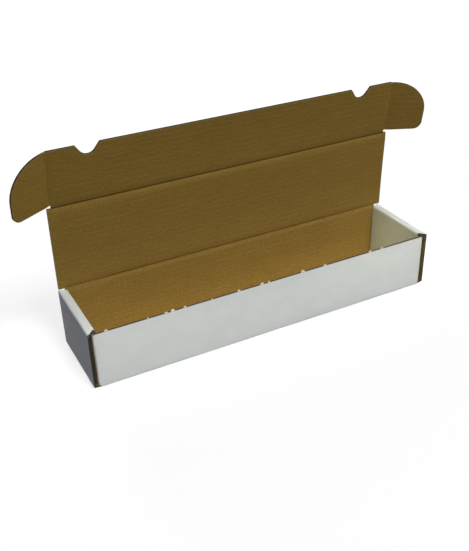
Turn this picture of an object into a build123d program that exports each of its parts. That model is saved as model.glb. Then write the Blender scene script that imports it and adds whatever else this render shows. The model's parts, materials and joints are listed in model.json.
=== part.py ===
# Folding card storage box, set up and standing open.
# One die-cut sheet of single-wall corrugated board, white outside and kraft inside, folds into a tray
# with rolled double ends, a lid hinged on the back wall, a tuck flap on the lid and two ears on the flap.
# Millimetres. The origin is the middle of the base's underside.
# X runs along the box, the front faces -Y and Z is up.

import math
import os

from build123d import *

os.makedirs("parts", exist_ok=True)

# Space inside the tray
inner_length = 420.0
inner_width = 95.3
inner_height = 69.0

# Corrugated board: two flat liners with a wavy paper glued between them
board = 2.5
liner = 0.3
fluting_paper = 0.22
flute_pitch = 6.4
flute_crest = 1.0

# Clearances between panels
ear_clearance = 0.2
lid_gap = 0.2
flap_gap = 0.3
hinge_gap = 0.1
panel_gap = 0.3

# Rolled ends
roll_setback = 6.0
corner_flap_spacing = 11.0
tab_width = 20.0
tab_spacing = 50.0
tab_clearance = 0.2

# Lid, tuck flap and ears
crease_run = 2.5
lid_end_inset = 0.5
flap_floor_gap = 4.4
notch_radius = 9.5
notch_depth = 12.0
notch_side_angle = 55.0
notch_from_end = 50.0
ear_reach = 48.0
ear_corner_radius = 10.0
ear_curve_height = 39.0
ear_top_drop = 1.0

# How the box stands open: degrees from shut, from in line with the lid, and from in line with the flap
lid_open_angle = 88.0
flap_fold_angle = 6.7
left_ear_angle = 25.0
right_ear_angle = 18.0

# Sizes that follow from these
core = board - 2 * liner
flute_rise = core - fluting_paper
ear_slit = board + 2 * ear_clearance
end_thickness = 3 * board + ear_slit
outer_length = inner_length + 2 * end_thickness
outer_width = inner_width + 2 * board
end_height = board + inner_height
under_roll = end_height - board
end_x = outer_length / 2
inner_x = inner_length / 2
corner_x = inner_x + board
front_y = outer_width / 2
wall_y = inner_width / 2

# Hinge lines run along the middle of the board's thickness
hinge_y = front_y - board / 2
hinge_z = end_height + lid_gap + board / 2
back_top = hinge_z - board / 2 - hinge_gap
lid_depth = outer_width + flap_gap
flap_height = hinge_z - flap_floor_gap
ear_axis_x = end_x - board - ear_clearance - board / 2
ear_low = hinge_z - under_roll + panel_gap
ear_high = flap_height - ear_top_drop
flap_half = ear_axis_x - board / 2 - hinge_gap
notch_slant = math.radians(notch_side_angle)
notch_half_floor = notch_radius * math.sin(notch_slant)
notch_rise = notch_depth - notch_radius * (1 - math.cos(notch_slant))
notch_half_mouth = notch_half_floor + notch_rise / math.tan(notch_slant)

lid_hinge = Location((0, hinge_y, hinge_z), (180 - lid_open_angle, 0, 0))
flap_hinge = lid_hinge * Location((0, lid_depth, 0), (flap_fold_angle, 0, 0))


def save(piece, name):
    """Label a finished piece and write it under its own name."""
    piece.part.label = name
    export_step(piece.part, f"parts/{name}.step")


def fluting_wave(low, high):
    """Closed outline of the wavy paper, seen along its flutes, with flat crests where it is glued."""
    underside = []
    for flute in range(math.floor(low / flute_pitch) - 1, math.ceil(high / flute_pitch) + 1):
        valley = flute * flute_pitch
        crest = valley + flute_pitch / 2
        underside += [(valley, 0), (valley + flute_crest, 0)]
        underside += [(crest, flute_rise), (crest + flute_crest, flute_rise)]
    topside = [(across, height + fluting_paper) for across, height in reversed(underside)]
    return underside + topside


def board_panel(name, white_face, outline, flutes_along_x=True):
    """Make a panel of board over an outline as its three glued papers.

    The white face lies on the given plane, and the kraft face one board thickness along its normal.
    """
    extent = outline.bounding_box()
    glue_line = white_face.offset(liner)
    if flutes_along_x:
        section = Plane(glue_line.origin, x_dir=white_face.y_dir, z_dir=white_face.x_dir)
        wave = fluting_wave(extent.min.Y, extent.max.Y)
        flute_reach = max(abs(extent.min.X), abs(extent.max.X))
    else:
        section = Plane(glue_line.origin, x_dir=white_face.x_dir, z_dir=-white_face.y_dir)
        wave = fluting_wave(extent.min.X, extent.max.X)
        flute_reach = max(abs(extent.min.Y), abs(extent.max.Y))

    with BuildPart() as white_liner:
        with BuildSketch(white_face):
            add(outline)
        extrude(amount=liner)
    save(white_liner, f"{name}_white_liner")

    with BuildPart() as fluting:
        with BuildSketch(section):
            with BuildLine():
                Polyline(*wave, close=True)
            make_face()
        extrude(amount=flute_reach, both=True)
        with BuildSketch(glue_line):
            add(outline)
        extrude(amount=core, mode=Mode.INTERSECT)
    save(fluting, f"{name}_fluting")

    with BuildPart() as kraft_liner:
        with BuildSketch(white_face.offset(board - liner)):
            add(outline)
        extrude(amount=liner)
    save(kraft_liner, f"{name}_kraft_liner")


def fixed_folds(name, folds):
    """Make a set of square folds, each a quarter round of crushed board about its inside corner line.

    A fold is the plane across it, with X and Y pointing from the inside corner to the two white faces,
    and its length to each side of that plane.
    """
    with BuildPart() as creases:
        for across, half_length in folds:
            with BuildSketch(across):
                with BuildLine():
                    Line((0, 0), (board, 0))
                    CenterArc((0, 0), board, 0, 90)
                    Line((0, board), (0, 0))
                make_face()
            extrude(amount=half_length, both=True)
    save(creases, name)


def hinge_crease(name, across, length):
    """Make a living hinge: crushed board with a round edge about the hinge line at the plane's origin."""
    with BuildPart() as crease:
        with BuildSketch(across):
            with BuildLine():
                Line((0, -board / 2), (crease_run, -board / 2))
                Line((crease_run, -board / 2), (crease_run, board / 2))
                Line((crease_run, board / 2), (0, board / 2))
                CenterArc((0, 0), board / 2, 90, 180)
            make_face()
        extrude(amount=length)
    save(crease, name)


# Base: the middle of the blank, with slots near its ends for the tabs of the inner end panels
with BuildSketch() as base_outline:
    Rectangle(2 * (end_x - board), inner_width)
    with GridLocations(inner_length + board, tab_spacing, 2, 2):
        Rectangle(board + 2 * tab_clearance, tab_width + 2 * tab_clearance, mode=Mode.SUBTRACT)
board_panel("base", Plane.XY, base_outline.sketch)

# Front wall: a single board with a raw top edge, lower than the rolled ends by the thickness of their top
with BuildSketch() as front_outline:
    with Locations((0, board)):
        Rectangle(2 * corner_x, under_roll - board, align=(Align.CENTER, Align.MIN))
front_face = Plane((0, -front_y, 0), x_dir=(-1, 0, 0), z_dir=(0, 1, 0))
board_panel("front_wall", front_face, front_outline.sketch)

# Back wall: a single board that rises to the lid's crease
with BuildSketch() as back_outline:
    with Locations((0, board)):
        Rectangle(2 * corner_x, back_top - board, align=(Align.CENTER, Align.MIN))
back_face = Plane((0, front_y, 0), x_dir=(1, 0, 0), z_dir=(0, -1, 0))
board_panel("back_wall", back_face, back_outline.sketch)

# Rolled ends: each goes up outside, over the top as a narrow strip and down inside, over two corner flaps
with BuildSketch() as end_outer_outline:
    with Locations((0, board)):
        Rectangle(outer_width, under_roll - board, align=(Align.CENTER, Align.MIN))

with BuildSketch() as end_inner_outline:
    with Locations((0, board)):
        Rectangle(inner_width - 2 * panel_gap, under_roll - board, align=(Align.CENTER, Align.MIN))
    with Locations((-tab_spacing / 2, panel_gap), (tab_spacing / 2, panel_gap)):
        Rectangle(tab_width, board - panel_gap, align=(Align.CENTER, Align.MIN))

corner_flap_reach = (inner_width - corner_flap_spacing) / 2
corner_flap_bottom = board + panel_gap
corner_flap_height = under_roll - panel_gap - corner_flap_bottom

for end, side in (("left", -1), ("right", 1)):
    outer_face = Plane((side * end_x, 0, 0), x_dir=(0, -side, 0), z_dir=(-side, 0, 0))
    board_panel(f"{end}_end_outer", outer_face, end_outer_outline.sketch, flutes_along_x=False)

    # The strip's front edge slants back so that it clears the front wall
    with BuildSketch() as strip_outline:
        with BuildLine():
            Polyline(
                (side * (end_x - board), front_y),
                (side * corner_x, front_y - roll_setback),
                (side * corner_x, panel_gap - wall_y),
                (side * (end_x - board), -front_y),
                close=True,
            )
        make_face()
    strip_face = Plane((0, 0, end_height), x_dir=(1, 0, 0), z_dir=(0, 0, -1))
    board_panel(f"{end}_end_top", strip_face, strip_outline.sketch)

    inner_face = Plane((side * inner_x, 0, 0), x_dir=(0, side, 0), z_dir=(side, 0, 0))
    board_panel(f"{end}_end_inner", inner_face, end_inner_outline.sketch, flutes_along_x=False)

    # Corner flaps lie against the inner panel and leave the ear's slit beside the outer one
    flap_face = Plane((side * (corner_x + board), 0, 0), x_dir=(0, -side, 0), z_dir=(-side, 0, 0))
    for wall, facing in (("front", side), ("back", -side)):
        with BuildSketch() as corner_flap_outline:
            with Locations((facing * (wall_y - corner_flap_reach / 2), corner_flap_bottom)):
                Rectangle(corner_flap_reach, corner_flap_height, align=(Align.CENTER, Align.MIN))
        board_panel(f"{wall}_{end}_corner_flap", flap_face, corner_flap_outline.sketch)

# Fixed folds: base to walls and ends, walls to corner flaps, and the rolls over the ends
base_folds = [
    (Plane((0, -wall_y, board), x_dir=(0, -1, 0), z_dir=(1, 0, 0)), corner_x),
    (Plane((0, wall_y, board), x_dir=(0, 1, 0), z_dir=(-1, 0, 0)), corner_x),
]
corner_folds = []
roll_folds = []
corner_flap_middle = corner_flap_bottom + corner_flap_height / 2
inner_roll_half = (inner_width - panel_gap - (roll_setback - board)) / 2
inner_roll_y = (roll_setback - board - panel_gap) / 2
for side in (-1, 1):
    outward = (side, 0, 0)
    inward = (-side, 0, 0)
    fold_x = side * (end_x - board)
    base_folds.append((Plane((fold_x, 0, board), x_dir=outward, z_dir=(0, side, 0)), wall_y))
    for wall in (-1, 1):
        corner = (side * corner_x, wall * wall_y, corner_flap_middle)
        corner_fold = Plane(corner, x_dir=outward, z_dir=(0, 0, side * wall))
        corner_folds.append((corner_fold, corner_flap_height / 2))
    outer_roll = Plane((fold_x, 0, under_roll), x_dir=outward, z_dir=(0, -side, 0))
    inner_roll = Plane((side * corner_x, inner_roll_y, under_roll), x_dir=inward, z_dir=(0, side, 0))
    roll_folds += [(outer_roll, front_y), (inner_roll, inner_roll_half)]
fixed_folds("base_folds", base_folds)
fixed_folds("corner_folds", corner_folds)
fixed_folds("end_roll_folds", roll_folds)

# Lid: hinged along the back wall's top, standing open, with end margins that run on past both creases
lid_frame = Plane(lid_hinge)
lid_half = end_x - lid_end_inset
lid_panel_depth = lid_depth - board / 2 - hinge_gap - crease_run
lid_panel_end = crease_run + lid_panel_depth
with BuildSketch() as lid_outline:
    with BuildLine():
        for side in (-1, 1):
            Polyline(
                (0, crease_run),
                (side * (corner_x + panel_gap), crease_run),
                (side * (corner_x + panel_gap), panel_gap),
                (side * lid_half, panel_gap),
                (side * lid_half, lid_depth),
                (side * (flap_half + panel_gap), lid_depth),
                (side * (flap_half + panel_gap), lid_panel_end),
                (0, lid_panel_end),
            )
    make_face()
board_panel("lid", lid_frame.offset(-board / 2), lid_outline.sketch)
lid_crease_start = lid_frame.from_local_coords((-corner_x, 0, 0))
lid_section = Plane(lid_crease_start, x_dir=lid_frame.y_dir, z_dir=lid_frame.x_dir)
hinge_crease("lid_crease", lid_section, 2 * corner_x)

# Tuck flap: hinged along the lid's front edge, with two round thumb notches in its free edge
flap_frame = Plane(flap_hinge)
with BuildSketch() as notch:
    with BuildLine():
        Polyline(
            (-notch_half_floor, -notch_rise),
            (-notch_half_mouth, 0),
            (notch_half_mouth, 0),
            (notch_half_floor, -notch_rise),
        )
        ThreePointArc((notch_half_floor, -notch_rise), (0, -notch_depth), (-notch_half_floor, -notch_rise))
    make_face()
with BuildSketch() as tuck_flap_outline:
    with Locations((0, crease_run)):
        Rectangle(2 * flap_half, flap_height - crease_run, align=(Align.CENTER, Align.MIN))
    with Locations((notch_from_end - end_x, flap_height), (end_x - notch_from_end, flap_height)):
        add(notch.sketch, mode=Mode.SUBTRACT)
board_panel("tuck_flap", flap_frame.offset(-board / 2), tuck_flap_outline.sketch)
flap_crease_start = flap_frame.from_local_coords((-flap_half, 0, 0))
flap_section = Plane(flap_crease_start, x_dir=flap_frame.y_dir, z_dir=flap_frame.x_dir)
hinge_crease("tuck_flap_crease", flap_section, 2 * flap_half)

# Ears: hinged at the ends of the tuck flap, straight below and swept round above
ear_shoulder = ear_high - ear_curve_height
ear_curve_reach = ear_reach - crease_run
ear_corner_start = (ear_reach - ear_corner_radius, ear_low)
ear_corner_end = (ear_reach, ear_low + ear_corner_radius)
with BuildSketch() as right_ear_outline:
    with BuildLine():
        Line((crease_run, ear_low), ear_corner_start)
        RadiusArc(ear_corner_start, ear_corner_end, -ear_corner_radius)
        Line(ear_corner_end, (ear_reach, ear_shoulder))
        EllipticalCenterArc((crease_run, ear_shoulder), ear_curve_reach, ear_curve_height, arc_size=90)
        Line((crease_run, ear_high), (crease_run, ear_low))
    make_face()
with BuildSketch() as left_ear_outline:
    mirror(right_ear_outline.sketch, about=Plane.YZ)

ears = (
    ("left", -1, left_ear_angle, left_ear_outline),
    ("right", 1, right_ear_angle, right_ear_outline),
)
for end, side, angle, ear_outline in ears:
    ear_frame = Plane(flap_hinge * Location((side * ear_axis_x, 0, 0), (0, -side * angle, 0)))
    board_panel(f"{end}_ear", ear_frame.offset(-board / 2), ear_outline.sketch)
    ear_crease_start = ear_frame.from_local_coords((0, ear_low, 0))
    ear_section = Plane(ear_crease_start, x_dir=side * ear_frame.x_dir, z_dir=ear_frame.y_dir)
    hinge_crease(f"{end}_ear_crease", ear_section, ear_high - ear_low)
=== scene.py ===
import json
import math

import bmesh
import bpy
import numpy as np
from mathutils import Matrix, Vector


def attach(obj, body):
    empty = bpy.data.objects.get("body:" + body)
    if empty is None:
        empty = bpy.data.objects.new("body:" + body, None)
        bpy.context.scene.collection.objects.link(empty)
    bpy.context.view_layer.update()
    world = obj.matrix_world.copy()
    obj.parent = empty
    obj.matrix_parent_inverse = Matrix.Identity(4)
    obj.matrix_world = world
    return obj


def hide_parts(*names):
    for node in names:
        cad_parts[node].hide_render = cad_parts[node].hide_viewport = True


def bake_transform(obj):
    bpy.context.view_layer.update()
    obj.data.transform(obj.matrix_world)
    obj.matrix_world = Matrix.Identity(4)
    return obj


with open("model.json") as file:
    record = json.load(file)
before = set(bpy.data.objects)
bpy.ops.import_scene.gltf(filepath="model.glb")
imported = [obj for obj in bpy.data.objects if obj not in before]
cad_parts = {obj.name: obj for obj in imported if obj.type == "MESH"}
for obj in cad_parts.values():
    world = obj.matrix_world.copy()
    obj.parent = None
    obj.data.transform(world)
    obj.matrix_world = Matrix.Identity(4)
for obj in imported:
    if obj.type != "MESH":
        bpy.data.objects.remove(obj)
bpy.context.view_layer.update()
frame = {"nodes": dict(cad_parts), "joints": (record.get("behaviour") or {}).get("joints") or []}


# Base of the tray
# The floor of the box and the middle of its one-piece blank, cut from single-wall corrugated board:
# a white outer paper, a waved paper and a brown kraft inner paper, glued together.
# Four slots near its ends take the lock tabs of the inner end panels.

flute_pitch = 0.0064
fluting_paper = 0.00022
liner = 0.0003
board = 0.0025
washboard_sag = 0.00006
cut_edge_crush = 0.00008
cut_edge_width = 0.0013
score_slope = 0.0004
score_width = 0.0022
curl_depth = 0.0007
curl_reach = 0.0035
steps_near_edge = np.array([0.0003, 0.0008, 0.0015, 0.0025])
step_along_flutes = 0.011
liner_steps_per_flute = 6
wave_steps_per_flute = 14
far_from_edge = 0.05
smooth_angle = math.radians(40)

side_x = np.array([1.0, 0.0, 0.0])
side_y = np.array([0.0, 1.0, 0.0])
side_z = np.array([0.0, 0.0, 1.0])


def node(tree, kind, inputs=(), **settings):
    """Adds a shader node with its settings.

    The inputs pair each socket with a value, or with the socket that feeds it.
    """
    made = tree.nodes.new("ShaderNode" + kind)
    for name, value in settings.items():
        setattr(made, name, value)
    for socket, value in dict(inputs).items():
        if isinstance(value, bpy.types.NodeSocket):
            tree.links.new(value, made.inputs[socket])
        else:
            made.inputs[socket].default_value = value
    return made


def arithmetic(tree, operation, first, second, clamp=False):
    """One sum of two values, each a number or a socket."""
    return node(tree, "Math", {0: first, 1: second}, operation=operation, use_clamp=clamp).outputs[0]


def tint(tree, share, first, second, blend="MIX"):
    """The first colour mixed with the second by a share, each a colour or a socket."""
    mixed = node(tree, "Mix", {0: share, 6: first, 7: second}, data_type="RGBA", blend_type=blend)
    return mixed.outputs[2]


def between(tree, value, low, high):
    """A value spread smoothly from 0 at low to 1 at high."""
    spread = node(tree, "MapRange", {0: value, 1: low, 2: high}, interpolation_type="SMOOTHSTEP")
    return spread.outputs[0]


def ranged(tree, value, ends):
    """A value from 0 to 1 stretched evenly between two ends."""
    return node(tree, "MapRange", {0: value, 3: ends[0], 4: ends[1]}).outputs[0]


def cloud(tree, place, sizes, detail=2.0, roughness=0.5):
    """Soft noise over the board, with lumps of the given sizes along the flutes, across them and in depth."""
    scaled = node(tree, "VectorMath", {0: place, 1: [1 / size for size in sizes]}, operation="MULTIPLY")
    noise = node(tree, "TexNoise", {"Vector": scaled.outputs[0], "Scale": 1.0, "Detail": detail,
                                    "Roughness": roughness})
    return noise.outputs["Fac"]


def effect(name, takes, gives):
    """Starts a shader node group and returns its tree, its input sockets and its output node."""
    tree = bpy.data.node_groups.new(name, "ShaderNodeTree")
    for socket, kind in takes:
        tree.interface.new_socket(socket, in_out="INPUT", socket_type="NodeSocket" + kind)
    for socket in gives:
        tree.interface.new_socket(socket, in_out="OUTPUT", socket_type="NodeSocketFloat")
    return tree, tree.nodes.new("NodeGroupInput").outputs, tree.nodes.new("NodeGroupOutput")


fibre_size = (0.0028, 0.0007, 1.0)
clump_size = (0.03, 0.022, 1.0)
streak_size = (0.016, 0.0024, 1.0)
tooth_size = (0.0026, 0.0020, 1.0)
fleck_start, fleck_full = 0.58, 0.72


def fibre_effect():
    """Paper fibres: thin flecks thresholded out of stretched noise, clouds of pulp, streaks and a tooth."""
    tree, given, result = effect("paper_fibres", [("Board", "Vector")], ["Fleck", "Cloud", "Streak", "Tooth"])
    place = given["Board"]
    threads = cloud(tree, place, fibre_size, detail=3.0, roughness=0.6)
    clumps = cloud(tree, place, clump_size, detail=4.0, roughness=0.6)
    fleck = between(tree, threads, fleck_start, fleck_full)
    streak = cloud(tree, place, streak_size, detail=4.0, roughness=0.7)
    tooth = cloud(tree, place, tooth_size, detail=6.0, roughness=0.8)
    for socket, value in (("Fleck", fleck), ("Cloud", clumps), ("Streak", streak), ("Tooth", tooth)):
        tree.links.new(value, result.inputs[socket])
    return tree


line_wander_size = (0.06, 0.02, 1.0)
line_wander = 0.15
line_fade_size = (0.045, 0.012, 1.0)
line_fade_start, line_fade_full = 0.35, 0.72
line_sharpness = 2.5


def washboard_effect():
    """Faint lines where a liner is glued to the flutes: a cosine across them that fades along the board."""
    tree, given, result = effect("washboard", [("Board", "Vector"), ("Shift", "Float")], ["Line"])
    place = given["Board"]
    across = node(tree, "SeparateXYZ", {0: place}).outputs["Y"]
    turns = arithmetic(tree, "ADD", arithmetic(tree, "DIVIDE", across, flute_pitch), given["Shift"])
    wander = arithmetic(tree, "MULTIPLY", cloud(tree, place, line_wander_size), line_wander)
    angle = arithmetic(tree, "MULTIPLY", arithmetic(tree, "ADD", turns, wander), 2 * math.pi)
    wave = arithmetic(tree, "MULTIPLY_ADD", arithmetic(tree, "COSINE", angle, 0.0), 0.5)
    wave.node.inputs[2].default_value = 0.5
    strength = between(tree, cloud(tree, place, line_fade_size, detail=3.0), line_fade_start, line_fade_full)
    line = arithmetic(tree, "MULTIPLY", arithmetic(tree, "POWER", wave, line_sharpness), strength)
    tree.links.new(line, result.inputs[0])
    return tree


rub_size = (0.004, 0.004, 1.0)
rub_full_share = 0.35


def edge_effect():
    """Rubbed cut edges: a mask that is full at the edge and breaks up over the given width."""
    tree, given, result = effect("rubbed_edge", [("Edge", "Float"), ("Board", "Vector"), ("Width", "Float")],
                                 ["Rubbed"])
    breakup = cloud(tree, given["Board"], rub_size, detail=4.0, roughness=0.65)
    limit = arithmetic(tree, "MULTIPLY", given["Width"], arithmetic(tree, "MULTIPLY", breakup, 2.0))
    share = arithmetic(tree, "DIVIDE", given["Edge"], limit)
    tree.links.new(between(tree, share, 1.0, rub_full_share), result.inputs[0])
    return tree


paper_fibres = fibre_effect()
washboard = washboard_effect()
rubbed_edge = edge_effect()


def paper_tree(name):
    """Starts a paper's material: its tree, its shader, and the board and edge places on its mesh."""
    material = bpy.data.materials.new(name)
    material.use_nodes = True
    tree = material.node_tree
    shader = tree.nodes["Principled BSDF"]
    place = node(tree, "Attribute", attribute_name="board").outputs["Vector"]
    edge = node(tree, "Attribute", attribute_name="edge").outputs["Fac"]
    return material, tree, shader, place, edge


def grouped(tree, group, **inputs):
    """Places a shared effect in a material with its own values."""
    made = tree.nodes.new("ShaderNodeGroup")
    made.node_tree = group
    for socket, value in inputs.items():
        if isinstance(value, bpy.types.NodeSocket):
            tree.links.new(value, made.inputs[socket])
        else:
            made.inputs[socket].default_value = value
    return made.outputs


bump_strength = 0.6


def stained(tree, colour, mask, share, stain):
    """A colour stained by another where a mask says so, up to a share."""
    return tint(tree, arithmetic(tree, "MULTIPLY", mask, share), colour, stain)


def finish_paper(tree, shader, colour, roughness, height, relief):
    """Feeds a paper's colour, roughness and bump to its shader."""
    bump = node(tree, "Bump", {"Height": height, "Strength": bump_strength, "Distance": relief})
    for socket, value in (("Base Color", colour), ("Roughness", roughness), ("Normal", bump.outputs[0])):
        tree.links.new(value, shader.inputs[socket])


white_clouds = (0.670, 0.705, 0.670, 1), (0.765, 0.800, 0.760, 1)
white_fibre = (0.55, 0.50, 0.42, 1)
white_line = (0.66, 0.67, 0.67, 1)
white_rubbed = (0.42, 0.34, 0.24, 1)
white_fibre_share, white_line_share, white_rubbed_share = 0.10, 0.10, 0.55
white_rub_width = 0.0009
white_gloss = 0.05
white_roughness = 0.42, 0.58
white_line_dip = -0.5
white_relief = 0.00006


def white_paper():
    """White-topped liner: smooth, clouded a little, with sparse fibres and browned, rubbed edges."""
    material, tree, shader, place, edge = paper_tree("white_liner")
    fibres = grouped(tree, paper_fibres, Board=place)
    lines = grouped(tree, washboard, Board=place, Shift=0.0)["Line"]
    rubbed = grouped(tree, rubbed_edge, Edge=edge, Board=place, Width=white_rub_width)["Rubbed"]
    colour = tint(tree, fibres["Cloud"], *white_clouds)
    colour = stained(tree, colour, fibres["Fleck"], white_fibre_share, white_fibre)
    colour = stained(tree, colour, lines, white_line_share, white_line)
    colour = stained(tree, colour, rubbed, white_rubbed_share, white_rubbed)
    shader.inputs["Specular IOR Level"].default_value = white_gloss
    roughness = ranged(tree, fibres["Cloud"], white_roughness)
    height = arithmetic(tree, "ADD", fibres["Tooth"], arithmetic(tree, "MULTIPLY", lines, white_line_dip))
    finish_paper(tree, shader, colour, roughness, height, white_relief)
    return material


kraft_clouds = (0.345, 0.210, 0.041, 1), (0.415, 0.267, 0.058, 1)
kraft_grain = (0.214, 0.128, 0.023, 1)
kraft_streak = (0.208, 0.124, 0.022, 1)
kraft_fibre = (0.140, 0.083, 0.016, 1)
kraft_line = (0.44, 0.290, 0.084, 1)
kraft_rubbed = (0.36, 0.245, 0.10, 1)
kraft_grain_share, kraft_streak_share, kraft_fibre_share = 0.75, 0.30, 0.45
kraft_line_share, kraft_rubbed_share = 0.24, 0.5
kraft_streak_start, kraft_streak_full = 0.40, 0.75
kraft_grain_start, kraft_grain_full = 0.36, 0.64
kraft_rub_width = 0.0010
kraft_gloss = 0.15
kraft_roughness = 0.72, 0.92
kraft_line_rise = 0.6
kraft_relief = 0.00010


def kraft_paper():
    """Kraft liner: brown and matt, grained, streaked along the flutes, flecked with fibres and ribbed."""
    material, tree, shader, place, edge = paper_tree("kraft_liner")
    fibres = grouped(tree, paper_fibres, Board=place)
    lines = grouped(tree, washboard, Board=place, Shift=0.5)["Line"]
    rubbed = grouped(tree, rubbed_edge, Edge=edge, Board=place, Width=kraft_rub_width)["Rubbed"]
    streak = between(tree, fibres["Streak"], kraft_streak_start, kraft_streak_full)
    grain = between(tree, fibres["Tooth"], kraft_grain_start, kraft_grain_full)
    colour = tint(tree, fibres["Cloud"], *kraft_clouds)
    colour = stained(tree, colour, grain, kraft_grain_share, kraft_grain)
    colour = stained(tree, colour, streak, kraft_streak_share, kraft_streak)
    colour = stained(tree, colour, fibres["Fleck"], kraft_fibre_share, kraft_fibre)
    colour = stained(tree, colour, lines, kraft_line_share, kraft_line)
    colour = stained(tree, colour, rubbed, kraft_rubbed_share, kraft_rubbed)
    shader.inputs["Specular IOR Level"].default_value = kraft_gloss
    roughness = ranged(tree, fibres["Tooth"], kraft_roughness)
    height = arithmetic(tree, "ADD", fibres["Tooth"], arithmetic(tree, "MULTIPLY", lines, kraft_line_rise))
    finish_paper(tree, shader, colour, roughness, height, kraft_relief)
    return material


bare_fibre_share, bare_fibre_shade = 0.4, 0.5
bare_roughness = 0.8, 0.98
bare_relief = 0.00008


def bare_paper(name, pale, dark):
    """Uncoated paper, as waves, cut edges and tears show it: two tones clouded together, with a tooth."""
    material, tree, shader, place, _ = paper_tree(name)
    fibres = grouped(tree, paper_fibres, Board=place)
    colour = tint(tree, fibres["Cloud"], dark, pale)
    shade = [bare_fibre_shade * part for part in dark]
    colour = stained(tree, colour, fibres["Fleck"], bare_fibre_share, shade)
    roughness = ranged(tree, fibres["Tooth"], bare_roughness)
    finish_paper(tree, shader, colour, roughness, fibres["Tooth"], bare_relief)
    return material


white_liner = white_paper()
kraft_liner = kraft_paper()
# Waved paper: the fluting's own brown, darkened far below its real tone as painted shade of the hollows
# between the liners.
shaded_waved_paper = bare_paper("shaded_waved_paper", (0.050, 0.038, 0.022, 1), (0.030, 0.022, 0.013, 1))
# Glued inner faces of the liners, seen only inside the cut edges: nearly black as painted shade of the flute
# hollows, not the paper's own colour.
shaded_inner_paper = bare_paper("shaded_inner_paper", (0.030, 0.023, 0.014, 1), (0.018, 0.014, 0.009, 1))
cut_paper = bare_paper("cut_paper", (0.170, 0.135, 0.092, 1), (0.100, 0.078, 0.053, 1))


def node_reach(name, place, direction):
    """The least and the greatest distance of a CAD node's corners from a place, along a direction."""
    vertices = frame["nodes"][name].data.vertices
    corners = np.empty(3 * len(vertices), np.float32)
    vertices.foreach_get("co", corners)
    lengths = (corners.reshape(-1, 3).astype(float) - place) @ direction
    return lengths.min(), lengths.max()


def stops(low, high, step, extra=()):
    """Places from low to high in even steps, closer near both ends, and exactly at the extra places."""
    fixed = np.unique(np.concatenate([[low, high], low + steps_near_edge, high - steps_near_edge, extra]))
    fixed = fixed[(fixed >= low) & (fixed <= high)]
    even = np.linspace(low, high, math.ceil((high - low) / step) + 1)
    clear = np.abs(even[:, None] - fixed[None, :]).min(axis=1) > steps_near_edge[0]
    return np.unique(np.concatenate([fixed, even[clear]]))


def shell(low, high, kept, board_place, edge):
    """A closed sheet between two grids of points.

    Every kept cell of the grid gives one face below and one above, and each of its sides without a kept
    neighbour a wall. Returns the points, the faces, each face's paper (below, above, wall) and the fields.
    """
    spot = np.arange(low[..., 0].size).reshape(low.shape[:2])
    lift = spot.size
    corners = (spot[:-1, :-1], spot[1:, :-1], spot[1:, 1:], spot[:-1, 1:])
    around = np.pad(kept, 1)
    open_sides = (
        kept & ~around[1:-1, :-2],
        kept & ~around[2:, 1:-1],
        kept & ~around[1:-1, 2:],
        kept & ~around[:-2, 1:-1],
    )
    above = np.stack(corners, axis=-1)[kept] + lift
    below = np.stack(corners[::-1], axis=-1)[kept]
    walls = []
    for side, is_open in enumerate(open_sides):
        start, end = corners[(side + 1) % 4][is_open], corners[side][is_open]
        walls.append(np.stack([start, start + lift, end + lift, end], axis=-1))
    faces = np.concatenate([below, above, *walls])
    paper = np.full(len(faces), 2)
    paper[: len(below)] = 0
    paper[len(below) : 2 * len(below)] = 1
    points = np.concatenate([low.reshape(-1, 3), high.reshape(-1, 3)])
    board_place = np.tile(board_place.reshape(-1, 3), (2, 1))
    edge = np.tile(edge.ravel(), 2)
    used, faces = np.unique(faces, return_inverse=True)
    return points[used], faces.reshape(-1, 4), paper, board_place[used], edge[used]


same_point = 1e-6


def piece(name, shells, papers):
    """Joins shells into one mesh object with its papers, merges points that meet and smooths gentle bends."""
    counts = np.cumsum([0] + [len(made[0]) for made in shells])
    faces = np.concatenate([made[1] + count for made, count in zip(shells, counts)])
    points, paper, board_place, edge = (
        np.concatenate([made[field] for made in shells]) for field in (0, 2, 3, 4)
    )
    mesh = bpy.data.meshes.new(name)
    mesh.from_pydata(points.tolist(), [], faces.tolist())
    mesh.polygons.foreach_set("material_index", paper)
    mesh.attributes.new("board", "FLOAT_VECTOR", "POINT").data.foreach_set("vector", board_place.ravel())
    mesh.attributes.new("edge", "FLOAT", "POINT").data.foreach_set("value", edge)
    for material in papers:
        mesh.materials.append(material)
    merged = bmesh.new()
    merged.from_mesh(mesh)
    bmesh.ops.remove_doubles(merged, verts=merged.verts, dist=same_point)
    bmesh.ops.dissolve_degenerate(merged, edges=merged.edges, dist=same_point)
    merged.to_mesh(mesh)
    merged.free()
    mesh.shade_smooth()
    mesh.set_sharp_from_angle(angle=smooth_angle)
    made = bpy.data.objects.new(name, mesh)
    bpy.context.scene.collection.objects.link(made)
    return made


panel_count = 0


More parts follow.
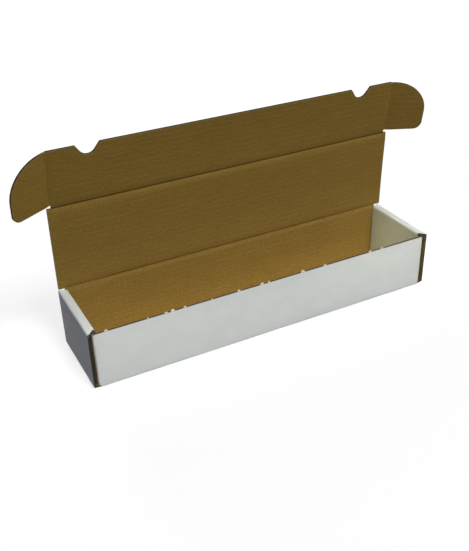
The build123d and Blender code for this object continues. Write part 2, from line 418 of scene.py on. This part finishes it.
def board_panel(name, body, up, normal, place=(0.0, 0.0, 0.0), bottom=None, top=None, cut_out=None,
                raw=(), scored=(), curled=(), bow=None, flutes_up=False, across_stops=(), up_stops=()):
    """Makes a panel's three papers, which stand for its three CAD nodes.

    A point is place + across * along + height * up + depth * normal, over a grid of (across, height) drawn
    onto the outline between bottom and top. The liners lie flat with a slight sag between the glue lines,
    and the waved paper is a cosine between them. All bow together, are crushed along the raw cut edges,
    pressed in from the kraft side along the scored ones, and bent to the white side along the curled ones.
    """
    global panel_count
    panel_count += 1
    along = np.cross(up, normal)
    slots = ("white_liner", "fluting", "kraft_liner")
    white_node = f"{name}_white_liner"
    left, right = node_reach(white_node, place, along)
    low, high = node_reach(white_node, place, up)
    face = node_reach(white_node, place, normal)[0]
    wave_rise = board - 2 * liner - fluting_paper

    def paper_shell(steps_per_flute, depths):
        """One paper: the depths of its two faces are functions of the place across the flutes."""
        fine = flute_pitch / steps_per_flute
        across_step, up_step = (fine, step_along_flutes) if flutes_up else (step_along_flutes, fine)
        columns = stops(left, right, across_step, across_stops)
        rows = stops(low, high, up_step, up_stops)
        floor = np.full(len(columns), low) if bottom is None else bottom(columns)
        roof = np.full(len(columns), high) if top is None else top(columns)
        across = np.repeat(columns[:, None], len(rows), axis=1)
        height = np.clip(rows[None, :], floor[:, None], roof[:, None])
        tall = np.diff(height, axis=1)
        kept = np.maximum(tall[:-1], tall[1:]) > same_point
        if cut_out is not None:
            middle_across = (across[1:, 1:] + across[:-1, :-1]) / 2
            middle_height = (height[1:, 1:] + height[:-1, :-1]) / 2
            kept &= ~cut_out(middle_across, middle_height)
        distances = {
            "left": across - left,
            "right": right - across,
            "bottom": height - floor[:, None],
            "top": roof[:, None] - height,
        }
        far = np.full(across.shape, far_from_edge)
        edge = np.min([far] + [distances[side] for side in raw], axis=0)
        score = np.min([far] + [distances[side] for side in scored], axis=0)
        curl = np.min([far] + [distances[side] for side in curled], axis=0)
        crush = 2 * cut_edge_crush / board * np.exp(-((edge / cut_edge_width) ** 2))
        press = 1 - score_slope / board * np.exp(-((score / score_width) ** 2))
        with_flutes, over_flutes = (height, across) if flutes_up else (across, height)
        board_place = np.stack([with_flutes, over_flutes, np.full(across.shape, float(panel_count))], axis=-1)
        swell = -curl_depth * np.exp(-curl / curl_reach)
        if bow is not None:
            swell = swell + bow((2 * across - left - right) / (right - left), (height - low) / (high - low))
        faces = []
        for depth_of in depths:
            depth = depth_of(over_flutes)
            depth = face + (depth + (board / 2 - depth) * crush) * press + swell
            points = across[..., None] * along + height[..., None] * up + depth[..., None] * normal
            faces.append(points + np.asarray(place))
        return shell(faces[0], faces[1], kept, board_place, edge)

    def wave(over_flutes):
        """Waved paper: a cosine between the liners, touching the white one at whole flutes."""
        return liner + wave_rise * (0.5 - 0.5 * np.cos(2 * np.pi * over_flutes / flute_pitch))

    def white_outside(over_flutes):
        """White face: drawn in between its glue lines at whole flutes."""
        return washboard_sag * (0.5 - 0.5 * np.cos(2 * np.pi * over_flutes / flute_pitch))

    def kraft_outside(over_flutes):
        """Kraft face: drawn in between its glue lines at half flutes."""
        return board - washboard_sag * (0.5 + 0.5 * np.cos(2 * np.pi * over_flutes / flute_pitch))

    def wave_back(over_flutes):
        """Waved paper's other face, its own thickness further on."""
        return wave(over_flutes) + fluting_paper

    def white_inside(over_flutes):
        """White liner's glued face: flat."""
        return np.full(over_flutes.shape, liner)

    def kraft_inside(over_flutes):
        """Kraft liner's glued face: flat."""
        return np.full(over_flutes.shape, board - liner)

    steps = (liner_steps_per_flute, wave_steps_per_flute, liner_steps_per_flute)
    depths = ((white_outside, white_inside), (wave, wave_back), (kraft_inside, kraft_outside))
    papers = (
        (white_liner, shaded_inner_paper, cut_paper),
        (shaded_waved_paper, shaded_waved_paper, shaded_waved_paper),
        (shaded_inner_paper, kraft_liner, cut_paper),
    )
    for slot, steps_per_flute, two_depths, three_papers in zip(slots, steps, depths, papers):
        cad_node = f"{name}_{slot}"
        sheet = paper_shell(steps_per_flute, two_depths)
        paper = piece(f"{cad_node}_paper", [sheet], three_papers)
        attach(paper, body)
        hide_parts(cad_node)


slot_half_width = 0.00145
slot_half_length = 0.0102
slot_x = 0.21125
slot_y = 0.025


def in_base_slot(across, height):
    """True inside one of the four slots, which lie alike in all quarters of the base."""
    return (abs(abs(across) - slot_x) < slot_half_width) & (abs(abs(height) - slot_y) < slot_half_length)


slot_edges_x = [side * (slot_x + half) for side in (-1, 1) for half in (-slot_half_width, slot_half_width)]
slot_edges_y = [side * (slot_y + half) for side in (-1, 1) for half in (-slot_half_length, slot_half_length)]
board_panel("base", "tray", side_y, side_z, cut_out=in_base_slot,
            across_stops=slot_edges_x, up_stops=slot_edges_y)


# Front wall
# A single thickness of board that folds up from the base, white outside.
# Its top is a raw die-cut edge, level with the underside of the rolled ends.

board_panel("front_wall", "tray", side_z, side_y, raw=("top",))

# Along the raw top edge stand the torn remains of the nicks that held the blank in its sheet:
# little tufts of pale paper, of uneven width and height.

torn_paper = bare_paper("torn_paper", (0.84, 0.82, 0.72, 1), (0.70, 0.67, 0.55, 1))
millimetre = 0.001
nick_shares = (0.03, 0.141, 0.19, 0.209, 0.243, 0.32, 0.399, 0.468, 0.489, 0.596, 0.667, 0.818, 0.86)
nick_widths = np.array([5.0, 2.4, 4.6, 5.4, 4.0, 2.0, 4.2, 6.0, 3.6, 6.6, 5.4, 4.2, 5.0]) * millimetre
nick_heights = np.array([1.5, 0.7, 1.5, 1.7, 1.3, 0.7, 1.3, 1.8, 1.2, 1.9, 1.5, 1.2, 1.4]) * millimetre
nick_root = 0.0004
nick_thickness = 0.0016
nick_columns, nick_rows = 15, 5
nick_ragged_paces = 4.0, 9.0, 17.0
nick_ragged_share = 0.45
nick_fullness = 0.7
nick_narrowing_share = 0.25
nick_lean_share = 0.35
nick_lean_pace = 2.3
nick_thinning_share = 0.75
nick_end_thickness_share = 0.25
nick_layer = 40.0


def torn_nick(middle, width, height, face, top, seed):
    """A tuft of torn paper: a thin sheet whose upper edge is a half wave, broken up by three faster ones.

    It leans and curls a little as it rises, and thins out from its root to its edge.
    """
    share, rise = np.meshgrid(np.linspace(-1, 1, nick_columns), np.linspace(0, 1, nick_rows), indexing="ij")
    waves = [np.sin(pace * (share + 1) + pace * seed) for pace in nick_ragged_paces]
    ragged = sum(waves) / len(waves)
    tall = height * (np.cos(share * np.pi / 2) ** nick_fullness) * (1 + nick_ragged_share * ragged)
    across = middle + share * width / 2 * (1 - nick_narrowing_share * rise)
    up = top - nick_root + rise * (tall + nick_root)
    lean = nick_lean_share * np.sin(seed * nick_lean_pace) * rise**2 * height
    rounded = np.sqrt(np.clip(1 - share**2, 0, 1))
    half = nick_thickness / 2 * (1 - nick_thinning_share * rise)
    half = half * (nick_end_thickness_share + (1 - nick_end_thickness_share) * rounded)
    middle_depth = face + board / 2 + lean
    inside, outside = (np.stack([across, middle_depth + side * half, up], axis=-1) for side in (1, -1))
    place = np.stack([across, up, np.full(across.shape, nick_layer + seed)], axis=-1)
    kept = np.ones((nick_columns - 1, nick_rows - 1), bool)
    return shell(inside, outside, kept, place, np.full(across.shape, far_from_edge))


front_face = node_reach("front_wall_white_liner", np.zeros(3), side_y)[0]
front_top = node_reach("front_wall_white_liner", np.zeros(3), side_z)[1]
front_left, front_right = node_reach("front_wall_white_liner", np.zeros(3), side_x)
nick_middles = front_left + (front_right - front_left) * np.array(nick_shares)
nicks = [torn_nick(*nick, front_face, front_top, seed)
         for seed, nick in enumerate(zip(nick_middles, nick_widths, nick_heights))]
front_nicks = piece("front_wall_nicks", nicks, (torn_paper, torn_paper, torn_paper))
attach(front_nicks, "tray")


# Back wall
# A single thickness of board that folds up from the base, white outside and kraft inside.
# Its top is scored, not cut: there the same board runs on through the lid's crease.

board_panel("back_wall", "tray", side_z, -side_y, scored=("top",), curled=("top",))


# Rolled ends
# Each end of the blank goes up as the outer panel, over the top as a narrow strip and down again as the
# inner panel, whose two tabs lock in the base's slots. The white paper stays outside all the way round.

tab_half_width = 0.010
tab_y = 0.025
tab_top = board
strip_setback = 0.006
end_bulge = 0.0012


def beside_tabs(across, height):
    """True below an inner end panel's shoulder, on either side of its two tabs."""
    return (height < tab_top) & (abs(abs(across) - tab_y) > tab_half_width)


def end_bow(across, height):
    """Outer end panel: a pillow towards the outside, flat along all four sides."""
    return -end_bulge * (1 - across**2) * np.sin(np.pi * np.clip(height, 0, 1))


tab_edges = [side * (tab_y + half) for side in (-1, 1) for half in (-tab_half_width, tab_half_width)]
for end, side in (("left", -1), ("right", 1)):
    board_panel(f"{end}_end_outer", "tray", side_z, -side * side_x, raw=("left", "right"), bow=end_bow,
                flutes_up=True)
    strip_inner, strip_outer = np.sort(np.abs(node_reach(f"{end}_end_top_white_liner", np.zeros(3), side_x)))
    strip_front, strip_back = node_reach(f"{end}_end_top_white_liner", np.zeros(3), side_y)
    strip_back_inner = node_reach("left_end_inner_white_liner", np.zeros(3), side_y)[1]

    def strip_bottom(across):
        """Front edge of the strip: set back in a straight slant from the outer to the inner corner."""
        return np.interp(abs(across), [strip_inner, strip_outer], [strip_front + strip_setback, strip_front])

    def strip_top(across):
        """Back edge of the strip: a slighter slant, past the back wall's kraft face."""
        return np.interp(abs(across), [strip_inner, strip_outer], [strip_back_inner, strip_back])

    board_panel(f"{end}_end_top", "tray", side_y, -side_z, bottom=strip_bottom, top=strip_top,
                raw=("bottom", "top"))
    board_panel(f"{end}_end_inner", "tray", side_z, side * side_x, cut_out=beside_tabs, raw=("left", "right"),
                flutes_up=True, across_stops=tab_edges, up_stops=[tab_top])


# Corner flaps
# Four small panels that fold in from the ends of the front and back walls and lie inside the rolled ends,
# where they hold the corners square. Only their raw edges show, through the ear slits.

for end, side in (("left", -1), ("right", 1)):
    for wall in ("front", "back"):
        board_panel(f"{wall}_{end}_corner_flap", "tray", side_z, -side * side_x,
                    raw=("top", "bottom", "left", "right"))


# Fixed folds
# Where the set-up box stays folded square, the white paper is drawn round the outside of the crushed board:
# base to walls and ends, walls to corner flaps, and the two rolls over each end.

fold_steps = 9
fold_length_step = 0.008
fold_wobble = 0.00006
fold_wobble_paces = 310, 87
first_fold_layer = 100


def square_fold(corner, first_out, second_out, start, end, seed):
    """A quarter round of board about its inside corner line, from start to end along the fold.

    The radius is the board's thickness, less a slight wobble along the fold that dies out at both panels.
    """
    first_out, second_out = np.asarray(first_out, float), np.asarray(second_out, float)
    along = np.cross(second_out, first_out)
    ends = np.sort([np.dot(along, abs(along)) * start, np.dot(along, abs(along)) * end])
    columns = stops(ends[0], ends[1], fold_length_step)
    turn = np.linspace(0, np.pi / 2, fold_steps)
    length, angle = np.meshgrid(columns, turn, indexing="ij")
    fast, slow = (np.sin(length * pace + count * seed) for count, pace in enumerate(fold_wobble_paces, 1))
    wobble = fold_wobble * np.sin(2 * angle) * (1 + fast * slow)
    line = np.asarray(corner, float) + length[..., None] * along
    out = np.cos(angle)[..., None] * first_out + np.sin(angle)[..., None] * second_out
    kept = np.ones((len(columns) - 1, fold_steps - 1), bool)
    place = np.stack([length, angle * board, np.full(length.shape, float(seed))], axis=-1)
    edge = np.minimum(length - ends[0], ends[1] - length)
    return shell(line + 0 * out, line + (board - wobble)[..., None] * out, kept, place, edge)


def fold_piece(cad_node, folds):
    """Joins a set of like folds into the piece that stands for their CAD node."""
    shells = [square_fold(*fold, seed) for seed, fold in enumerate(folds, first_fold_layer)]
    made = piece(f"{cad_node}_board", shells, (kraft_liner, white_liner, cut_paper))
    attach(made, "tray")
    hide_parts(cad_node)


wall_x = node_reach("front_wall_white_liner", np.zeros(3), side_x)[1]
wall_y = node_reach("back_wall_kraft_liner", np.zeros(3), side_y)[0]
end_x = node_reach("right_end_outer_kraft_liner", np.zeros(3), side_x)[0]
end_y = node_reach("right_end_outer_white_liner", np.zeros(3), side_y)[1]
under_roll = node_reach("right_end_outer_white_liner", np.zeros(3), side_z)[1]
flap_low, flap_high = node_reach("front_left_corner_flap_white_liner", np.zeros(3), side_z)
inner_y = node_reach("right_end_inner_white_liner", np.zeros(3), side_y)[1]

base_folds = [((0, side * wall_y, board), (0, side, 0), (0, 0, -1), -wall_x, wall_x) for side in (-1, 1)]
base_folds += [((side * end_x, 0, board), (side, 0, 0), (0, 0, -1), -wall_y, wall_y) for side in (-1, 1)]
fold_piece("base_folds", base_folds)
fold_piece("corner_folds", [
    ((side * wall_x, wall * wall_y, 0), (side, 0, 0), (0, wall, 0), flap_low, flap_high)
    for side in (-1, 1) for wall in (-1, 1)
])
inner_front = strip_setback - end_y
roll_folds = [((side * end_x, 0, under_roll), (side, 0, 0), (0, 0, 1), -end_y, end_y) for side in (-1, 1)]
roll_folds += [
    ((side * wall_x, 0, under_roll), (-side, 0, 0), (0, 0, 1), inner_front, inner_y) for side in (-1, 1)
]
fold_piece("end_roll_folds", roll_folds)


# Lid
# One long panel hinged on the back wall by a scored crease, kraft side forward when it stands open.
# The crease is the same board, crushed by a scoring rule: a groove on the kraft side, a ridge on the white.

joints = {joint["name"]: joint for joint in frame["joints"]}
pivots = {name: np.array(joint["pos_m"]) for name, joint in joints.items()}
lid_up = pivots["tuck_flap_hinge"] - pivots["lid_hinge"]
lid_up /= np.linalg.norm(lid_up)
lid_normal = np.cross(side_x, lid_up)
lid_bulge = 0.0015
lid_end_flatness = 0.6
margin_low_x = 0.2128
margin_high_x = 0.2154
margin_step = 0.00002


def lid_bow(across, height):
    """Lid: a shallow curve towards its white side, flat along both creases."""
    return -lid_bulge * (1 - lid_end_flatness * across**2) * np.sin(np.pi * np.clip(height, 0, 1))


crease_steps = 13
groove_depth = 0.0006
groove_width = 0.0010
ridge_height = 0.00030
ridge_width = 0.0011
crease_layer = 60.0


def scored_crease(cad_node, pivot, axis, parent_up, child_up, parent_edge, child_edge,
                  side=1, curl=curl_depth, groove=groove_depth):
    """A living hinge between two panels.

    The strip runs from the parent panel's edge, as deep as that is curled, to the child panel's. Across it,
    its direction turns smoothly from one panel's to the other's about the hinge line, with a Gaussian groove
    pressed into the kraft side and a Gaussian ridge raised on the white side.
    """
    low, high = node_reach(cad_node, pivot, axis)
    columns = stops(low, high, step_along_flutes)
    rows = np.linspace(parent_edge, child_edge, crease_steps)
    length, run = np.meshgrid(columns, rows, indexing="ij")
    share = (run - parent_edge) / (child_edge - parent_edge)
    share = (share * share * (3 - 2 * share))[..., None]
    parent_normal = side * np.cross(axis, parent_up)
    turn = np.arctan2(np.dot(child_up, parent_normal), np.dot(child_up, parent_up))
    up = np.cos(turn * share) * parent_up + np.sin(turn * share) * parent_normal
    normal = np.cos(turn * share) * parent_normal - np.sin(turn * share) * parent_up
    line = pivot + length[..., None] * axis + run[..., None] * up - curl * (1 - share) * normal
    kraft = board / 2 - score_slope - groove * np.exp(-((run / groove_width) ** 2))
    white = board / 2 + ridge_height * np.exp(-((run / ridge_width) ** 2))
    faces = [line - white[..., None] * normal, line + kraft[..., None] * normal]
    if side < 0:
        faces = [face[::-1] for face in faces]
    place = np.stack([length, run, np.full(length.shape, crease_layer)], axis=-1)[::side]
    edge = np.minimum(length - low, high - length)[::side]
    kept = np.ones((len(columns) - 1, crease_steps - 1), bool)
    strip = shell(*faces, kept, place, edge)
    made = piece(f"{cad_node}_board", [strip], (white_liner, kraft_liner, cut_paper))
    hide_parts(cad_node)
    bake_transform(made)


crease_start = node_reach("back_wall_white_liner", pivots["lid_hinge"], side_z)[1]
crease_end = node_reach("lid_crease", pivots["lid_hinge"], lid_up)[1]
lid_low, lid_high = node_reach("lid_white_liner", pivots["lid_hinge"], lid_up)
lid_top = np.linalg.norm(pivots["tuck_flap_hinge"] - pivots["lid_hinge"]) + crease_start


def lid_bottom(across):
    """Lower edge of the lid: along its crease, and lower in the end margins."""
    return np.where(abs(across) > margin_low_x, lid_low, crease_end)


def lid_front(across):
    """Upper edge of the open lid: along the flap's crease, and higher in the end margins."""
    return np.where(abs(across) > margin_high_x, lid_high, lid_top)


margin_stops = [side * (margin + step) for side in (-1, 1) for margin in (margin_low_x, margin_high_x)
                for step in (0.0, margin_step)]
board_panel("lid", "lid", lid_up, lid_normal, place=pivots["lid_hinge"], bottom=lid_bottom, top=lid_front,
            raw=("left", "right"), scored=("bottom", "top"), curled=("top",), bow=lid_bow,
            across_stops=margin_stops, up_stops=[crease_end, lid_top])
scored_crease("lid_crease", pivots["lid_hinge"], side_x, side_z, lid_up,
              crease_start, crease_end)


# Tuck flap
# The panel at the lid's front edge, which folds down over the front wall when the box is shut.
# Two round notches with slanted sides in its free edge take the thumbs.

flap_up = np.array(joints["left_ear_hinge"]["axis"])
flap_normal = np.cross(side_x, flap_up)
flap_top = node_reach("tuck_flap_white_liner", pivots["tuck_flap_hinge"], flap_up)[1]
notch_x = 0.1704
notch_radius = 0.0095
notch_depth = 0.012
notch_slant = math.radians(55)
notch_steps = 13
notch_half_floor = notch_radius * math.sin(notch_slant)
notch_rise = notch_depth - notch_radius * (1 - math.cos(notch_slant))
notch_half_mouth = notch_half_floor + notch_rise / math.tan(notch_slant)


def flap_edge(across):
    """Free edge of the flap: straight, and at each notch down a slanted side into a round floor."""
    from_notch = abs(abs(across) - notch_x)
    on_floor = np.minimum(from_notch, notch_half_floor)
    floor = notch_radius - notch_depth - np.sqrt(notch_radius**2 - on_floor**2)
    side = np.minimum((from_notch - notch_half_mouth) * math.tan(notch_slant), 0)
    return flap_top + np.where(from_notch < notch_half_floor, floor, side)


flap_bulge = 0.0008


def flap_bow(across, height):
    """Tuck flap: a slight curve towards its white side, flat along its crease and its ear creases."""
    return -flap_bulge * (1 - across**2) * np.sin(np.pi * np.clip(height, 0, 1))


notch_stops = notch_radius * np.sin(np.linspace(-notch_slant, notch_slant, notch_steps))
notch_stops = np.concatenate([[-notch_half_mouth], notch_stops, [notch_half_mouth]])
notch_stops = np.concatenate([notch_stops - notch_x, notch_stops + notch_x])
board_panel("tuck_flap", "tuck_flap", flap_up, flap_normal, place=pivots["tuck_flap_hinge"], top=flap_edge,
            raw=("top",), scored=("bottom", "left", "right"), bow=flap_bow, across_stops=notch_stops)
scored_crease("tuck_flap_crease", pivots["tuck_flap_hinge"], side_x, lid_up, flap_up,
              crease_start, crease_end)


# Ears
# Two wings hinged at the ends of the tuck flap, with a swept upper edge and a rounded lower corner.
# They turn back and slide into the slits at the front corners, which keeps the lid shut.

ear_corner_radius = 0.010
ear_curve_height = 0.039
ear_steps = 17
ear_groove_depth = 0.0001

for end, side in (("left", -1), ("right", 1)):
    hinge = f"{end}_ear_hinge"
    axis, pivot = np.array(joints[hinge]["axis"]), pivots[hinge]
    turned = Matrix.Rotation(math.radians(-joints[hinge]["range_deg"][0]), 3, Vector(axis))
    ear_normal = np.array(turned @ Vector(flap_normal))
    ear_out = side * np.cross(flap_up, ear_normal)
    ear_low, ear_high = node_reach(f"{end}_ear_white_liner", pivot, flap_up)
    ear_start, ear_tip = node_reach(f"{end}_ear_white_liner", pivot, ear_out)
    ear_shoulder = ear_high - ear_curve_height

    def ear_bottom(across):
        """Lower edge of an ear: straight, then a quarter circle round its outer corner."""
        past = np.clip(abs(across) - (ear_tip - ear_corner_radius), 0, ear_corner_radius)
        return ear_low + ear_corner_radius - np.sqrt(ear_corner_radius**2 - past**2)

    def ear_top(across):
        """Upper edge of an ear: a quarter ellipse from the crease down to the shoulder."""
        share = np.clip((abs(across) - ear_start) / (ear_tip - ear_start), 0, 1)
        return ear_shoulder + ear_curve_height * np.sqrt(1 - share**2)

    sweep = np.sin(np.linspace(0, np.pi / 2, ear_steps))
    ear_stops = np.concatenate([
        ear_start + (ear_tip - ear_start) * sweep,
        ear_tip - ear_corner_radius + ear_corner_radius * sweep,
    ])
    outer_side, inner_side = ("left", "right") if side < 0 else ("right", "left")
    board_panel(f"{end}_ear", f"{end}_ear", flap_up, ear_normal, place=pivot, bottom=ear_bottom, top=ear_top,
                raw=("bottom", "top", outer_side), scored=(inner_side,),
                across_stops=np.sort(side * ear_stops))
    scored_crease(f"{end}_ear_crease", pivot, flap_up, side * side_x, ear_out,
                  crease_start, crease_end, side=-side, curl=0.0, groove=ear_groove_depth)


# Room
# A pale floor without an edge, a large soft lamp high in front and one behind, a low strip lamp with a grid
# that lights the tray, a small yellow one for the inside of its far end, a soft fill from all round that is
# dimmer and bluer on the left, and a camera that stands in front, to the left and above.

floor_size = 30.0
floor_near, floor_far = 0.6, 2.5
floor_light = 0.72
floor_colour = (0.06, 0.06, 0.062, 1)
floor_seen_colour = (0.36, 0.36, 0.36, 1)
white = (1, 1, 1, 1)
fill_light = 0.22
fill_from_left = (0.62, 0.58, 0.86, 1)
neutral, yellow = (1, 1, 1), (1.0, 0.98, 0.59)
# Each lamp: name, place, aim, width and height, spread in degrees, power in watts, colour
lamps = (
    ("high_lamp", (0.42, -1.70, 2.88), (0.0, 0.0, 0.08), (1.0, 1.0), 180, 66.0, neutral),
    ("back_lamp", (0.0, 2.15, 0.56), (0.0, 0.0, 0.10), (0.8, 0.8), 180, 25.0, neutral),
    ("tray_lamp", (0.05, -1.01, 0.76), (0.05, -0.05, 0.04), (0.66, 0.08), 8, 0.1, neutral),
    ("end_lamp", (-1.0, -0.55, 0.85), (0.21, 0.0, 0.045), (0.08, 0.06), 4, 0.0067, yellow),
)
camera_place = Vector((-0.3902, -0.7219, 0.5376))
camera_azimuth = math.radians(-26.94)
camera_elevation = math.radians(30.64)
camera_roll = math.radians(-1.657)
camera_lens, camera_sensor = 52.213, 36.0
camera_near, camera_far = 0.01, 100.0


def seen_rays(tree, path):
    """One for a ray from the camera, and for a mirrored or passed-on ray, which sees the same background."""
    mirrored = arithmetic(tree, "MAXIMUM", path["Is Glossy Ray"], path["Is Transmission Ray"])
    return arithmetic(tree, "MAXIMUM", path["Is Camera Ray"], mirrored)


def pale_floor():
    """Floor: a matt grey, lifted to white for the camera and in reflections, that keeps the shadow."""
    material = bpy.data.materials.new("pale_floor")
    material.use_nodes = True
    tree = material.node_tree
    shader = tree.nodes["Principled BSDF"]
    path = node(tree, "LightPath").outputs
    seen = seen_rays(tree, path)
    colour = tint(tree, path["Is Camera Ray"], floor_colour, floor_seen_colour)
    tree.links.new(colour, shader.inputs["Base Color"])
    shader.inputs["Roughness"].default_value = 1.0
    shader.inputs["Specular IOR Level"].default_value = 0.0
    shader.inputs["Emission Color"].default_value = white
    place = node(tree, "TexCoord").outputs["Object"]
    distance = node(tree, "VectorMath", {0: place}, operation="LENGTH").outputs["Value"]
    lift = node(tree, "MapRange", {0: distance, 1: floor_near, 2: floor_far, 3: floor_light, 4: 1.0})
    tree.links.new(arithmetic(tree, "MULTIPLY", seen, lift.outputs[0]), shader.inputs["Emission Strength"])
    return material


half = floor_size / 2
floor_corners = [(-half, -half, 0), (half, -half, 0), (half, half, 0), (-half, half, 0)]
floor_mesh = bpy.data.meshes.new("floor")
floor_mesh.from_pydata(floor_corners, [], [(0, 1, 2, 3)])
floor_mesh.materials.append(pale_floor())
floor = bpy.data.objects.new("floor", floor_mesh)
bpy.context.scene.collection.objects.link(floor)

world = bpy.data.worlds.new("studio")
bpy.context.scene.world = world
world.use_nodes = True
sky = world.node_tree
background = sky.nodes["Background"]
sky_seen = seen_rays(sky, node(sky, "LightPath").outputs)
sky_strength = ranged(sky, sky_seen, (fill_light, 1.0))
sky_direction = node(sky, "TexCoord").outputs["Generated"]
sky_x = node(sky, "SeparateXYZ", {0: sky_direction}).outputs["X"]
sky_left = arithmetic(sky, "SUBTRACT", between(sky, sky_x, 0.0, -1.0), sky_seen, clamp=True)
sky.links.new(tint(sky, sky_left, white, fill_from_left), background.inputs["Color"])
sky.links.new(sky_strength, background.inputs["Strength"])

for name, place, aim, size, spread, power, colour in lamps:
    lamp_data = bpy.data.lights.new(name, "AREA")
    lamp_data.shape = "RECTANGLE"
    lamp_data.size, lamp_data.size_y = size
    lamp_data.spread = math.radians(spread)
    lamp_data.energy = power
    lamp_data.color = colour
    lamp = bpy.data.objects.new(name, lamp_data)
    lamp.location = place
    lamp.rotation_euler = (Vector(aim) - Vector(place)).to_track_quat("-Z", "Y").to_euler()
    bpy.context.scene.collection.objects.link(lamp)

camera_data = bpy.data.cameras.new("camera")
camera_data.lens = camera_lens
camera_data.sensor_width = camera_sensor
camera_data.clip_start, camera_data.clip_end = camera_near, camera_far
camera = bpy.data.objects.new("camera", camera_data)
back = Vector((
    math.sin(camera_azimuth) * math.cos(camera_elevation),
    -math.cos(camera_azimuth) * math.cos(camera_elevation),
    math.sin(camera_elevation),
))
level = Vector((0, 0, 1)).cross(back).normalized()
upright = back.cross(level)
right = level * math.cos(camera_roll) + upright * math.sin(camera_roll)
camera_up = upright * math.cos(camera_roll) - level * math.sin(camera_roll)
camera_turn = Matrix((right, camera_up, back)).transposed().to_4x4()
camera.matrix_world = Matrix.Translation(camera_place) @ camera_turn
bpy.context.scene.collection.objects.link(camera)
bpy.context.scene.camera = camera
bpy.context.scene.view_settings.view_transform = "Standard"
